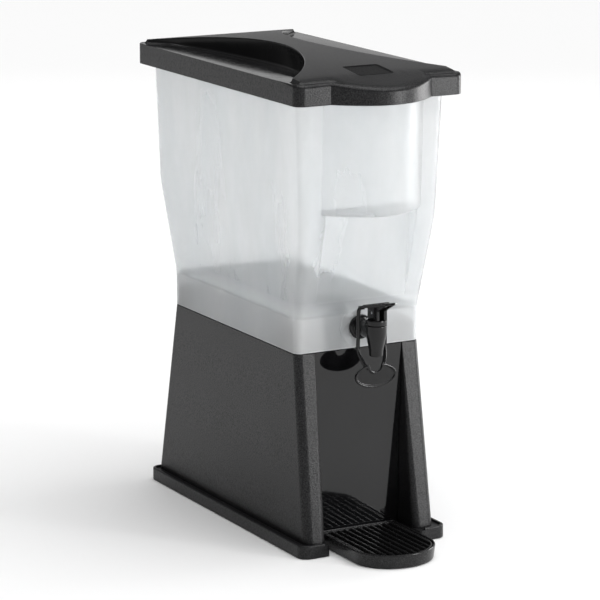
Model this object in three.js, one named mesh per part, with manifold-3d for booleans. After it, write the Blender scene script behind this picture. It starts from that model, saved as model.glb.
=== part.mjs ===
import * as THREE from 'three';
import { mergeVertices } from 'three/addons/utils/BufferGeometryUtils.js';
import Module from 'manifold-3d';

// Slim countertop drink dispenser with a lift-off reservoir, a push-lever tap and a drip tray.
// Millimetres. +Z is up, the tap side faces -Y, the dispenser is symmetric about X = 0.

const WALL = 3;
const GAP = 0.3;
const CORNER_STEPS = 7;
const ROUND_STEPS = 32;

// Plan sections: half width along X, front and back along Y, corner radius.
const PLINTH = { halfWidth: 95, front: -154, back: 236, corner: 12 };
const PLINTH_BOTTOM = 0.5;
const PLINTH_TOP = 15.7;
const PLINTH_LIP = 3.6;
const PLINTH_GROOVE_DEPTH = 2.6;
const PLINTH_MOUTH_CORNER = 5;

const BASE_FOOT = { z: 15.7, halfWidth: 84.5, front: -143.6, back: 233.6, corner: 10 };
const BASE_HEAD = { z: 227.3, halfWidth: 80.3, front: -113.1, back: 193.1, corner: 9 };

// Serving bay between the two front columns.
const BAY_HALF_WIDTH = 57;
const BAY_EDGE_RADIUS_LOW = 9;
const BAY_EDGE_RADIUS_HIGH = 0.3;
const PANEL_LOW = { z: 8, y: -107.2 };
const PANEL_HIGH = { z: 226.9, y: -112.6 };
const PANEL_THICKNESS = 3;

// Corner lugs on the deck that centre the reservoir.
const LUG = { height: 25, alongX: 29, alongY: 48, corner: 7, clearance: 0.8, wall: 2.6 };

const PAD = { radius: 5.5, height: 2 };
const PAD_CENTRES = {
  left_front: [-88, -139],
  right_front: [88, -139],
  left_back: [-88, 220],
  right_back: [88, 220],
};

const TANK_BOTTOM = BASE_HEAD.z + GAP;
const TANK_FLOOR = 268;
const TANK_SECTIONS = [
  { z: TANK_BOTTOM, halfWidth: 80.3, front: -113.1, back: 193.1, corner: 9 },
  { z: TANK_FLOOR, halfWidth: 80.3, front: -113.1, back: 193.1, corner: 9 },
  { z: 376.9, halfWidth: 87.2, front: -140.7, back: 222.1, corner: 11 },
  { z: 515.8, halfWidth: 93.2, front: -146.3, back: 223.1, corner: 14 },
  { z: 529.5, halfWidth: 93.8, front: -146.8, back: 223.3, corner: 14 },
];
const TANK_RIM = {
  halfWidth: 101.4, front: -156, back: 231.4, corner: 10, bottom: 526.5, top: 529.5,
  bowHalfWidth: 62, bowDepth: 34.4,
};

// Bowed upper front of the reservoir and the flat recess below its ledge.
const BOW_HALF_WIDTH = 64;
const BOW_DEPTH = 39.6;
const BOW_BOTTOM = 389.5;
const RECESS = { halfWidth: 58, lowZ: 284, lowY: -117, highY: -128 };

// Sump channel that leads from the floor to the tap.
const SUMP = { halfWidth: 20, bottom: 236.5, flatEnd: -78, back: -16 };
const FLOOR_RIB = { y: 41.5, bottom: 233 };

const TAP_Z = 252.4;
const TAP_HOLE_RADIUS = 8.2;
const TAP_BOSS = { radius: 24, height: 1 };
const WALL_FACE = -113.1;

const LID = { halfWidth: 106.4, front: -162.7, back: 236, corner: 11 };
const LID_BOTTOM = 515.8;
const LID_RIM = 540;
const LID_WALL = 2.8;
const LID_SHOULDER = { z: 529.8, width: 3.4 };
const LID_BOW = { halfWidth: 64, depth: 32 };
const LID_CROWN = { centreY: 41.7, halfLength: 194, edge: 544.6, rise: 12.4 };
const LID_LIP = { start: -150, end: -194.7, drop: 9.5 };
const SCOOP = { centreX: 259, centreY: 41.7, radius: 240, low: 529.5, slope: 0.174, spine: 19 };
const BADGE = {
  halfWidth: 22.5, halfLength: 20, corner: 4, depth: 1.8, centreY: -132, centreZ: 547.1, tilt: 0.114,
};

const TRAY = {
  halfWidth: 49.8, front: -236, back: -108.6, noseDepth: 44,
  bottom: 0.6, top: 16.5, wall: 2.4, seatInset: 5.8,
};
const TONGUE = { halfWidth: 20, back: -95, bottom: 2, top: 4.8 };
const GRATE = {
  bottom: 11, top: 15.6, rim: 2.6,
  ribWidth: 2.8, ribPitch: 8.6, ribCount: 11, tieStations: [-140, -175, -210],
};

// Tap: the spout axis stands clear of the reservoir's front wall.
const SPOUT_Y = -153;
const SPOUT_PROFILE = [[226, 7.2], [227, 7.7], [232, 7.9], [248, 11.3], [252, 11.9], [261.7, 12.2]];
const SEAT_BOTTOM = 238;
const SEAT_TOP = 241;
const CHAMBER_RADIUS = 9;
const OUTLET_RADIUS = 5.2;
const SHANK_RADIUS = 7.7;
const SHANK_END = -94;
const SHANK_BORE = 4.6;
const BONNET = { bottom: 262, top: 268.5, radius: 12.4, plugBottom: 258.5, plugRadius: 8.7 };
const STEM_RADIUS = 2.6;
const PIN = { z: 276, radius: 1.5, halfLength: 6.2 };
const LEVER_WEB = { inner: 2.9, outer: 6.3, front: -165.3, back: -144, bottom: 268.8 };
const LEVER_PLATE = { pivotY: -143, pivotZ: 283, tilt: -0.23, thickness: 3 };
const BAIL = { x: 17.2, y: -143, radius: 2.3 };
const PADDLE = {
  y: -152, z: 203, halfWidth: 26.5, halfHeight: 14, thickness: 3.2, rim: 1.1, rimWidth: 2.4, notch: 8,
};

const wasm = await Module();
wasm.setup();

function material(color, roughness, metalness = 0, opacity = 1) {
  const transparent = opacity < 1;
  return new THREE.MeshStandardMaterial({ color, roughness, metalness, opacity, transparent });
}

const TEXTURED_BLACK = material(0x26272a, 0.75);
const GLOSS_BLACK = material(0x111214, 0.12);
const TAP_BLACK = material(0x141517, 0.25);
const FROSTED = material(0xdfe4e6, 0.45, 0, 0.55);
const RUBBER_BLACK = material(0x1c1c1c, 0.9);
const SILICONE = material(0xd8d8d2, 0.6);
const STEEL = material(0xb8bcc0, 0.3, 1);

function toSolid(geometry) {
  const bare = new THREE.BufferGeometry();
  bare.setAttribute('position', geometry.getAttribute('position').clone());
  if (geometry.index) bare.setIndex(geometry.index.clone());
  const welded = mergeVertices(bare, 1e-4);
  const vertProperties = new Float32Array(welded.getAttribute('position').array);
  const triVerts = new Uint32Array(welded.index.array);
  return new wasm.Manifold(new wasm.Mesh({ numProp: 3, vertProperties, triVerts }));
}

function toMesh(name, solid, meshMaterial) {
  const { vertProperties, triVerts } = solid.getMesh();
  const geometry = new THREE.BufferGeometry();
  geometry.setAttribute('position', new THREE.BufferAttribute(new Float32Array(vertProperties), 3));
  geometry.setIndex(new THREE.BufferAttribute(new Uint32Array(triVerts), 1));
  geometry.computeVertexNormals();
  const mesh = new THREE.Mesh(geometry, meshMaterial);
  mesh.name = name;
  return mesh;
}

// Closed body through a stack of rings that all have the same number of points.
function loft(rings) {
  const count = rings[0].length;
  const positions = rings.flat().flat();
  const triangles = [];
  for (let r = 0; r + 1 < rings.length; r += 1) {
    for (let i = 0; i < count; i += 1) {
      const a = r * count + i;
      const b = r * count + ((i + 1) % count);
      triangles.push(a, b, b + count, a, b + count, a + count);
    }
  }
  const addCap = (ringIndex, upwards) => {
    const ring = rings[ringIndex];
    const centre = [0, 1, 2].map((axis) => ring.reduce((sum, point) => sum + point[axis], 0) / count);
    const hub = positions.length / 3;
    positions.push(...centre);
    for (let i = 0; i < count; i += 1) {
      const a = ringIndex * count + i;
      const b = ringIndex * count + ((i + 1) % count);
      if (upwards) triangles.push(a, b, hub);
      else triangles.push(b, a, hub);
    }
  };
  addCap(0, false);
  addCap(rings.length - 1, true);
  const geometry = new THREE.BufferGeometry();
  geometry.setAttribute('position', new THREE.BufferAttribute(new Float32Array(positions), 3));
  geometry.setIndex(triangles);
  return toSolid(geometry);
}

// Turns an outline drawn in (X,Y) and extruded along Z into one in (Y,Z) extruded along X.
const AXES_TO_YZX = new THREE.Matrix4().set(0, 0, 1, 0, 1, 0, 0, 0, 0, 1, 0, 0, 0, 0, 0, 1);

// Prism of a closed outline along an axis. The outline is in (X,Y), (Y,Z) or (X,Z).
function prism(axis, outline, from, to) {
  const shape = new THREE.Shape(outline.map(([u, v]) => new THREE.Vector2(u, v)));
  const geometry = new THREE.ExtrudeGeometry(shape, { depth: to - from, bevelEnabled: false });
  geometry.translate(0, 0, from);
  if (axis === 'x') {
    geometry.applyMatrix4(AXES_TO_YZX);
  }
  if (axis === 'y') {
    geometry.translate(0, 0, -from - to);
    geometry.rotateX(Math.PI / 2);
  }
  return toSolid(geometry);
}

function box(x0, x1, y0, y1, z0, z1) {
  const geometry = new THREE.BoxGeometry(x1 - x0, y1 - y0, z1 - z0);
  geometry.translate((x0 + x1) / 2, (y0 + y1) / 2, (z0 + z1) / 2);
  return toSolid(geometry);
}

// Body of revolution about a vertical axis from [z, radius] pairs.
function turned(profile, x = 0, y = 0, steps = ROUND_STEPS) {
  const rings = profile.map(([z, radius]) => Array.from({ length: steps }, (_, i) => {
    const angle = (i / steps) * Math.PI * 2;
    return [x + radius * Math.cos(angle), y + radius * Math.sin(angle), z];
  }));
  return loft(rings);
}

// Body of revolution about an axis along Y at the tap's height, from [y, radius] pairs.
function turnedAlongY(profile, x = 0, z = TAP_Z, steps = ROUND_STEPS) {
  const rings = profile.map(([y, radius]) => Array.from({ length: steps }, (_, i) => {
    const angle = (i / steps) * Math.PI * 2;
    return [x + radius * Math.sin(angle), y, z + radius * Math.cos(angle)];
  }));
  return loft(rings);
}

function tube(points, radius, segments, sides = 8) {
  const profile = new THREE.Shape(Array.from({ length: sides }, (_, i) => {
    const angle = (i / sides) * Math.PI * 2;
    return new THREE.Vector2(radius * Math.cos(angle), radius * Math.sin(angle));
  }));
  const stations = points.map((point) => new THREE.Vector3(...point));
  const path = new THREE.CatmullRomCurve3(stations, false, 'centripetal');
  return toSolid(new THREE.ExtrudeGeometry(profile, { steps: segments, extrudePath: path }));
}

function arc(centreX, centreY, radius, startAngle, endAngle, steps) {
  return Array.from({ length: steps + 1 }, (_, i) => {
    const angle = startAngle + ((endAngle - startAngle) * i) / steps;
    return [centreX + radius * Math.cos(angle), centreY + radius * Math.sin(angle)];
  });
}

function roundedOutline({ halfWidth, front, back, corner }, inset = 0) {
  const radius = Math.max(corner - inset, 0.5);
  const x = halfWidth - inset - radius;
  const y0 = front + inset + radius;
  const y1 = back - inset - radius;
  const quarter = Math.PI / 2;
  return [
    ...arc(x, y0, radius, -quarter, 0, CORNER_STEPS),
    ...arc(x, y1, radius, 0, quarter, CORNER_STEPS),
    ...arc(-x, y1, radius, quarter, 2 * quarter, CORNER_STEPS),
    ...arc(-x, y0, radius, 2 * quarter, 3 * quarter, CORNER_STEPS),
  ];
}

function atHeight(outline, z) {
  return outline.map(([x, y]) => [x, y, z]);
}

function sectionRing(section, inset = 0, z = section.z) {
  return atHeight(roundedOutline(section, inset), z);
}

function mix(a, b, t) {
  return a + (b - a) * t;
}

function blendSection(low, high, z) {
  const t = (z - low.z) / (high.z - low.z);
  return {
    z,
    halfWidth: mix(low.halfWidth, high.halfWidth, t),
    front: mix(low.front, high.front, t),
    back: mix(low.back, high.back, t),
    corner: mix(low.corner, high.corner, t),
  };
}

// Parabolic bow between -halfWidth and +halfWidth that stands out from the line y = baseY.
function bowPoints(halfWidth, baseY, depth, steps) {
  return Array.from({ length: steps + 1 }, (_, i) => {
    const x = mix(-halfWidth, halfWidth, i / steps);
    return [x, baseY - depth * (1 - (x / halfWidth) ** 2)];
  });
}

// ---- Base ----

function panelY(z) {
  return mix(PANEL_LOW.y, PANEL_HIGH.y, (z - PANEL_LOW.z) / (PANEL_HIGH.z - PANEL_LOW.z));
}

function bayRing(z, widen) {
  const t = (z - BASE_FOOT.z) / (BASE_HEAD.z - BASE_FOOT.z);
  const mouth = mix(BASE_FOOT.front, BASE_HEAD.front, t);
  const radius = mix(BAY_EDGE_RADIUS_LOW, BAY_EDGE_RADIUS_HIGH, t) + widen * 0.2;
  const halfWidth = BAY_HALF_WIDTH + widen;
  const back = panelY(z) + PANEL_THICKNESS + GAP + widen;
  const front = mouth - 40;
  const quarter = Math.PI / 2;
  const rightEdge = arc(halfWidth + radius, mouth + radius, radius, 3 * quarter, 2 * quarter, 5);
  const leftEdge = arc(-halfWidth - radius, mouth + radius, radius, 0, -quarter, 5);
  return atHeight([
    [-halfWidth - radius, front],
    [halfWidth + radius, front],
    ...rightEdge,
    [halfWidth, back],
    [-halfWidth, back],
    ...leftEdge,
  ], z);
}

/** The gap in the plinth where the drip tray slides in: square behind, rounded corners at its mouth. */
function plinthMouth(back) {
  const halfWidth = BAY_HALF_WIDTH + 1;
  const radius = PLINTH_MOUTH_CORNER;
  const corner = PLINTH.front + radius;
  const quarter = Math.PI / 2;
  return prism('z', [
    [-halfWidth - radius, PLINTH.front - 16],
    [halfWidth + radius, PLINTH.front - 16],
    ...arc(halfWidth + radius, corner, radius, 3 * quarter, 2 * quarter, 5),
    [halfWidth, back],
    [-halfWidth, back],
    ...arc(-halfWidth - radius, corner, radius, 0, -quarter, 5),
  ], -1, 16);
}

function lugSolid(sideX, sideY, inset, bottom, top) {
  const edge = WALL + LUG.clearance;
  const centreX = sideX * (BASE_HEAD.halfWidth - edge - LUG.alongX / 2);
  const wallY = sideY < 0 ? BASE_HEAD.front : BASE_HEAD.back;
  const centreY = wallY - sideY * (edge + LUG.alongY / 2);
  const halfY = LUG.alongY / 2;
  const footprint = { halfWidth: LUG.alongX / 2, front: -halfY, back: halfY, corner: LUG.corner };
  const outline = roundedOutline(footprint, inset).map(([x, y]) => [x + centreX, y + centreY]);
  return prism('z', outline, bottom, top);
}

function buildBaseShell() {
  const grooveBottom = PLINTH_TOP - PLINTH_GROOVE_DEPTH;
  const groove = prism('z', roundedOutline(PLINTH, PLINTH_LIP), grooveBottom, PLINTH_TOP + 1);
  const plinthTop = PLINTH_TOP - 1.2;
  const plinth = loft([
    sectionRing(PLINTH, 0, PLINTH_BOTTOM),
    sectionRing(PLINTH, 0, plinthTop),
    sectionRing(PLINTH, 1.2, PLINTH_TOP),
  ]).subtract(groove);
  const start = blendSection(BASE_FOOT, BASE_HEAD, 8);
  const tower = loft([sectionRing(start), sectionRing(BASE_FOOT), sectionRing(BASE_HEAD)]);
  const under = blendSection(BASE_FOOT, BASE_HEAD, -1);
  const ceiling = blendSection(BASE_FOOT, BASE_HEAD, BASE_HEAD.z - WALL);
  const hollow = loft([sectionRing(under, WALL), sectionRing(ceiling, WALL)]);
  const bay = loft([bayRing(PLINTH_TOP - 3, 0), bayRing(BASE_HEAD.z + 3, 0)]);
  const bayWall = loft([bayRing(-2, WALL), bayRing(BASE_HEAD.z + 3, WALL)]);
  const bayBack = panelY(PANEL_LOW.z) + PANEL_THICKNESS + GAP;
  const footGap = plinthMouth(bayBack);
  const tongueSlot = box(-TONGUE.halfWidth - 1, TONGUE.halfWidth + 1, -115, -90, -1, TONGUE.top + 1.2);
  let shell = plinth.add(tower);
  const lugSides = [[-1, -1], [1, -1], [-1, 1], [1, 1]];
  for (const [sideX, sideY] of lugSides) {
    shell = shell.add(lugSolid(sideX, sideY, 0, BASE_HEAD.z - 1, BASE_HEAD.z + LUG.height));
  }
  shell = shell.subtract(hollow.subtract(bayWall)).subtract(bay).subtract(footGap).subtract(tongueSlot);
  for (const [sideX, sideY] of lugSides) {
    const top = BASE_HEAD.z + LUG.height - LUG.wall;
    shell = shell.subtract(lugSolid(sideX, sideY, LUG.wall, BASE_HEAD.z - WALL - 1, top));
  }
  for (const [x, y] of Object.values(PAD_CENTRES)) {
    const seat = [[-1, PAD.radius + GAP], [PAD.height + GAP, PAD.radius + GAP]];
    shell = shell.subtract(turned(seat, x, y, 24));
  }
  return toMesh('base_shell', shell, TEXTURED_BLACK);
}

function buildFrontPanel() {
  const low = PANEL_LOW.z;
  const high = PANEL_HIGH.z;
  const outline = [
    [panelY(low), low],
    [panelY(low) + PANEL_THICKNESS, low],
    [panelY(high) + PANEL_THICKNESS, high],
    [panelY(high), high],
  ];
  const half = BAY_HALF_WIDTH - GAP;
  return toMesh('front_panel', prism('x', outline, -half, half), GLOSS_BLACK);
}

function buildPads() {
  return Object.entries(PAD_CENTRES).map(([side, [x, y]]) => {
    const profile = [[0, PAD.radius - 0.6], [0.6, PAD.radius], [PAD.height, PAD.radius]];
    return toMesh(`foot_pad_${side}`, turned(profile, x, y, 24), RUBBER_BLACK);
  });
}

// ---- Drip tray ----

function trayRing(z, inset) {
  const halfWidth = TRAY.halfWidth - inset;
  const front = TRAY.front + inset;
  const back = TRAY.back - inset;
  const noseCentre = TRAY.front + TRAY.noseDepth;
  const steps = 24;
  const nose = Array.from({ length: steps + 1 }, (_, i) => {
    const angle = Math.PI + (i / steps) * Math.PI;
    return [halfWidth * Math.cos(angle), noseCentre + (noseCentre - front) * Math.sin(angle)];
  });
  return atHeight([...nose, [halfWidth, back], [-halfWidth, back]], z);
}

function trayInset(z) {
  return 1.8 * (1 - (z - TRAY.bottom) / (TRAY.top - TRAY.bottom));
}

function buildDripTray() {
  const floor = TRAY.bottom + TRAY.wall;
  const outer = loft([
    trayRing(TRAY.bottom, 2.8),
    trayRing(TRAY.bottom + 1, trayInset(TRAY.bottom + 1)),
    trayRing(TRAY.top, 0),
  ]);
  const seatTop = GRATE.bottom - GAP;
  const mouth = loft([
    trayRing(seatTop, TRAY.wall + trayInset(seatTop)),
    trayRing(TRAY.top + 1, TRAY.wall),
  ]);
  const pan = loft([trayRing(floor, TRAY.seatInset), trayRing(TRAY.top, TRAY.seatInset)]);
  const half = TONGUE.halfWidth;
  const tongue = box(-half, half, TRAY.back - 3.5, TONGUE.back, TONGUE.bottom, TONGUE.top);
  const tray = outer.add(tongue).subtract(mouth).subtract(pan);
  return toMesh('drip_tray', tray, GLOSS_BLACK);
}

function buildDripGrate() {
  const inset = TRAY.wall + trayInset(GRATE.bottom) + GAP;
  const outer = loft([trayRing(GRATE.bottom, inset), trayRing(GRATE.top, inset)]);
  const frame = inset + GRATE.rim;
  const open = loft([trayRing(GRATE.bottom - 1, frame), trayRing(GRATE.top + 1, frame)]);
  let ribs = null;
  for (let i = 0; i < GRATE.ribCount; i += 1) {
    const x = (i - (GRATE.ribCount - 1) / 2) * GRATE.ribPitch;
    const half = GRATE.ribWidth / 2;
    const rib = box(x - half, x + half, TRAY.front, TRAY.back, GRATE.bottom, GRATE.top);
    ribs = ribs ? ribs.add(rib) : rib;
  }
  for (const y of GRATE.tieStations) {
    const tie = box(-TRAY.halfWidth, TRAY.halfWidth, y - 1.5, y + 1.5, GRATE.bottom, GRATE.bottom + 1.8);
    ribs = ribs.add(tie);
  }
  const grate = outer.subtract(open).add(outer.intersect(ribs));
  return toMesh('drip_grate', grate, TEXTURED_BLACK);
}

// ---- Reservoir ----

function tankFront(z) {
  const upper = TANK_SECTIONS.findIndex((section) => section.z >= z);
  return blendSection(TANK_SECTIONS[upper - 1], TANK_SECTIONS[upper], z).front;
}

function bowSolid(inset, bottom, top) {
  const ringAt = (z) => {
    const baseY = tankFront(Math.min(z, TANK_SECTIONS[4].z)) + inset;
    const half = BOW_HALF_WIDTH - inset;
    const points = bowPoints(half, baseY, BOW_DEPTH, 20);
    return atHeight([...points, [half, baseY + 14], [-half, baseY + 14]], z);
  };
  return loft([ringAt(bottom), ringAt(515.8), ringAt(top)]);
}

function recessSolid(grow) {
  const outline = [
    [-210, RECESS.lowZ - grow],
    [RECESS.lowY + grow, RECESS.lowZ - grow],
    [RECESS.highY + grow, BOW_BOTTOM + grow],
    [-210, BOW_BOTTOM + grow],
  ];
  return prism('x', outline, -RECESS.halfWidth - grow, RECESS.halfWidth + grow);
}

function sumpSolid(grow) {
  const outline = [
    [WALL_FACE + WALL - grow, SUMP.bottom - grow],
    [SUMP.flatEnd, SUMP.bottom - grow],
    [SUMP.back + grow, TANK_FLOOR],
    [SUMP.back + grow, TANK_FLOOR + 2],
    [WALL_FACE + WALL - grow, TANK_FLOOR + 2],
  ];
  return prism('x', outline, -SUMP.halfWidth - grow, SUMP.halfWidth + grow);
}

function buildReservoir() {
  const top = TANK_SECTIONS[4].z;
  const walls = loft(TANK_SECTIONS.map((section) => sectionRing(section)));
  const bow = bowSolid(0, BOW_BOTTOM, top);
  const outer = walls.subtract(recessSolid(0)).add(bow);

  const cavitySections = TANK_SECTIONS.slice(1);
  const cavityRings = cavitySections.map((section) => sectionRing(section, WALL));
  cavityRings.push(sectionRing(cavitySections[3], WALL, top + 2));
  const cavity = loft(cavityRings)
    .subtract(recessSolid(WALL))
    .add(bowSolid(WALL, BOW_BOTTOM + WALL, top + 2));

  const rimBow = [
    ...bowPoints(TANK_RIM.bowHalfWidth, TANK_RIM.front, TANK_RIM.bowDepth, 20),
    [TANK_RIM.bowHalfWidth, TANK_RIM.front + 8],
    [-TANK_RIM.bowHalfWidth, TANK_RIM.front + 8],
  ];
  const rim = prism('z', roundedOutline(TANK_RIM), TANK_RIM.bottom, TANK_RIM.top)
    .add(prism('z', rimBow, TANK_RIM.bottom, TANK_RIM.top));

  const skirtTop = TANK_FLOOR - WALL;
  const ribHalf = WALL / 2;
  const skirtFace = TANK_SECTIONS[0];
  const ribFront = FLOOR_RIB.y - ribHalf;
  const ribBack = FLOOR_RIB.y + ribHalf;
  const floorRib = box(-90, 90, ribFront, ribBack, FLOOR_RIB.bottom, skirtTop + 1);
  const skirtHollow = loft([
    sectionRing(skirtFace, WALL, TANK_BOTTOM - 1),
    sectionRing(skirtFace, WALL, skirtTop),
  ]).subtract(sumpSolid(WALL)).subtract(floorRib);

  const boss = turnedAlongY([
    [WALL_FACE - TAP_BOSS.height, TAP_BOSS.radius - 0.8],
    [WALL_FACE + 1, TAP_BOSS.radius],
  ]);
  const bossLimit = box(-30, 30, -120, -110, TANK_BOTTOM + 1, 280);
  const tapHole = turnedAlongY([[-120, TAP_HOLE_RADIUS], [-100, TAP_HOLE_RADIUS]]);

  const tank = outer.add(rim).add(boss.intersect(bossLimit))
    .subtract(cavity)
    .subtract(skirtHollow)
    .subtract(sumpSolid(0))
    .subtract(tapHole);
  return toMesh('reservoir', tank, FROSTED);
}

// ---- Lid ----

function lidOutline(inset) {
  const radius = LID.corner - Math.min(inset, LID.corner - 1);
  const x = LID.halfWidth - inset - radius;
  const y0 = LID.front + inset + radius;
  const y1 = LID.back - inset - radius;
  const quarter = Math.PI / 2;
  const bowWidth = LID_BOW.halfWidth - inset * 0.6;
  return [
    ...bowPoints(bowWidth, LID.front + inset, LID_BOW.depth, 18),
    ...arc(x, y0, radius, -quarter, 0, CORNER_STEPS),
    ...arc(x, y1, radius, 0, quarter, CORNER_STEPS),
    ...arc(-x, y1, radius, quarter, 2 * quarter, CORNER_STEPS),
    ...arc(-x, y0, radius, 2 * quarter, 3 * quarter, CORNER_STEPS),
  ];
}

function crownHeight(x, y) {
  const along = (y - LID_CROWN.centreY) / LID_CROWN.halfLength;
  const lip = THREE.MathUtils.clamp((LID_LIP.start - y) / (LID_LIP.start - LID_LIP.end), 0, 1);
  const arch = LID_CROWN.rise * Math.max(1 - along ** 2, 0);
  const camber = 1.5 * (x / 100) ** 2;
  return LID_CROWN.edge + arch - camber - LID_LIP.drop * lip;
}

function lidSolid(inset, drop, bottom) {
  const edge = (height) => Math.min(height, LID_RIM) - drop;
  const rings = [
    atHeight(lidOutline(inset), bottom),
    lidOutline(inset).map(([x, y]) => [x, y, edge(crownHeight(x, y) - 5)]),
    lidOutline(inset + 0.9).map(([x, y]) => [x, y, edge(crownHeight(x, y) - 2.6)]),
    lidOutline(inset + 3).map(([x, y]) => [x, y, edge(crownHeight(x, y) - 1)]),
    lidOutline(inset + 9).map(([x, y]) => [x, y, crownHeight(x, y) - drop]),
  ];
  for (const scale of [0.78, 0.6, 0.42, 0.24, 0.1]) {
    rings.push(lidOutline(inset + 9).map(([x, y]) => {
      const scaledX = x * scale;
      const scaledY = mix(LID_CROWN.centreY, y, scale);
      return [scaledX, scaledY, crownHeight(scaledX, scaledY) - drop];
    }));
  }
  return loft(rings);
}

function scoopSolid(side, grow) {
  const radius = SCOOP.radius + grow;
  const cylinder = turned([[500, radius], [620, radius]], side * SCOOP.centreX, SCOOP.centreY, 144);
  const flatStart = SCOOP.spine + (LID_RIM - SCOOP.low) / SCOOP.slope;
  const outline = [
    [SCOOP.spine - 9, SCOOP.low - 9 * SCOOP.slope - grow],
    [flatStart, LID_RIM - grow],
    [120, LID_RIM - grow],
    [120, 600],
    [SCOOP.spine - 9, 600],
  ].map(([x, z]) => [side * x, z]);
  return cylinder.intersect(prism('y', outline, -160, 240));
}

function badgeSolid(grow, bottom, top) {
  const outline = roundedOutline({
    halfWidth: BADGE.halfWidth + grow,
    front: -BADGE.halfLength - grow,
    back: BADGE.halfLength + grow,
    corner: BADGE.corner,
  });
  const shape = new THREE.Shape(outline.map(([x, y]) => new THREE.Vector2(x, y)));
  const geometry = new THREE.ExtrudeGeometry(shape, { depth: top - bottom, bevelEnabled: false });
  geometry.translate(0, 0, bottom);
  geometry.rotateX(Math.atan(BADGE.tilt));
  geometry.translate(0, BADGE.centreY, BADGE.centreZ);
  return toSolid(geometry);
}

function buildLid() {
  const cavity = lidSolid(LID_WALL + LID_SHOULDER.width, LID_WALL, LID_BOTTOM - 1)
    .add(prism('z', lidOutline(LID_WALL), LID_BOTTOM - 1, LID_SHOULDER.z))
    .subtract(scoopSolid(-1, LID_WALL))
    .subtract(scoopSolid(1, LID_WALL));
  const lid = lidSolid(0, 0, LID_BOTTOM)
    .subtract(cavity)
    .subtract(scoopSolid(-1, 0))
    .subtract(scoopSolid(1, 0))
    .subtract(badgeSolid(GAP, -BADGE.depth, 6));
  return toMesh('lid', lid, TEXTURED_BLACK);
}

function buildLidBadge() {
  return toMesh('lid_badge', badgeSolid(0, GAP - BADGE.depth, -0.6), GLOSS_BLACK);
}

// ---- Tap ----

function buildTapBody() {
  const neck = turnedAlongY([[SPOUT_Y + 4, 9.4], [-121.5, 9.4], [-120.6, 11]]);
  const flange = turnedAlongY([[-121, 11], [-120.2, 13.4], [-118.5, 14.3], [-117, 14.3]]);
  const shank = turnedAlongY([
    [-118, SHANK_RADIUS],
    [SHANK_END - 1, SHANK_RADIUS],
    [SHANK_END, SHANK_RADIUS - 1],
  ]);
  const spout = turned(SPOUT_PROFILE, 0, SPOUT_Y);
  const chamber = turned([
    [SEAT_BOTTOM, OUTLET_RADIUS],
    [SEAT_TOP, CHAMBER_RADIUS],
    [270, CHAMBER_RADIUS],
  ], 0, SPOUT_Y);
  const outlet = turned([[220, OUTLET_RADIUS], [SEAT_BOTTOM + 1, OUTLET_RADIUS]], 0, SPOUT_Y);
  const inlet = turnedAlongY([[SPOUT_Y, SHANK_BORE], [SHANK_END + 2, SHANK_BORE]]);
  const body = spout.add(neck).add(flange).add(shank).subtract(chamber).subtract(outlet).subtract(inlet);
  return toMesh('tap_body', body, TAP_BLACK);
}

function ringAlongY(name, from, to, outerRadius, innerRadius, meshMaterial) {
  const disc = turnedAlongY([[from, outerRadius], [to, outerRadius]]);
  const hole = turnedAlongY([[from - 1, innerRadius], [to + 1, innerRadius]]);
  return toMesh(name, disc.subtract(hole), meshMaterial);
}

function buildShankNut() {
  const hexagon = turnedAlongY([[-107.2, 13], [-98.4, 13]], 0, TAP_Z, 6);
  const hole = turnedAlongY([[-108, SHANK_RADIUS + GAP], [-97, SHANK_RADIUS + GAP]]);
  const collar = turnedAlongY([[-107.2, 11.2], [-98.4, 11.2]]);
  return toMesh('tap_shank_nut', hexagon.add(collar).subtract(hole), TAP_BLACK);
}

function buildBonnet() {
  const cap = turned([
    [BONNET.bottom, BONNET.radius - 0.5],
    [BONNET.bottom + 0.8, BONNET.radius],
    [BONNET.top - 0.8, BONNET.radius],
    [BONNET.top, BONNET.radius - 0.8],
  ], 0, SPOUT_Y);
  const plugProfile = [[BONNET.plugBottom, BONNET.plugRadius], [BONNET.bottom + 1, BONNET.plugRadius]];
  const plug = turned(plugProfile, 0, SPOUT_Y);
  const guide = turned([[250, STEM_RADIUS + GAP], [275, STEM_RADIUS + GAP]], 0, SPOUT_Y);
  return toMesh('tap_bonnet', cap.add(plug).subtract(guide), TAP_BLACK);
}

function buildStem() {
  const rod = turned([[240.4, STEM_RADIUS], [272, STEM_RADIUS]], 0, SPOUT_Y);
  const head = box(-STEM_RADIUS, STEM_RADIUS, SPOUT_Y - 4, SPOUT_Y + 4, 270, 279);
  const pinHole = prism('x', arc(SPOUT_Y, PIN.z, PIN.radius + GAP, 0, Math.PI * 1.9, 19), -5, 5);
  return toMesh('tap_stem', rod.add(head).subtract(pinHole), TAP_BLACK);
}

function buildSeatCup() {
  const cup = turned([[238.6, 4.6], [241.4, 8], [243.6, 8], [244.2, 5.4]], 0, SPOUT_Y);
  const socket = turned([[240.1, STEM_RADIUS + GAP], [246, STEM_RADIUS + GAP]], 0, SPOUT_Y);
  return toMesh('tap_seat_cup', cup.subtract(socket), SILICONE);
}

function buildSpring() {
  const turns = 5;
  const bottom = 245;
  const top = 257.6;
  const count = 61;
  const points = Array.from({ length: count }, (_, i) => {
    const t = i / (count - 1);
    const angle = t * turns * Math.PI * 2;
    return [5.4 * Math.cos(angle), SPOUT_Y + 5.4 * Math.sin(angle), mix(bottom, top, t)];
  });
  return toMesh('tap_spring', tube(points, 0.55, 80, 5), STEEL);
}

function buildPin() {
  const outline = arc(SPOUT_Y, PIN.z, PIN.radius, 0, Math.PI * 1.9, 19);
  return toMesh('tap_lever_pin', prism('x', outline, -PIN.halfLength, PIN.halfLength), STEEL);
}

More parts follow.
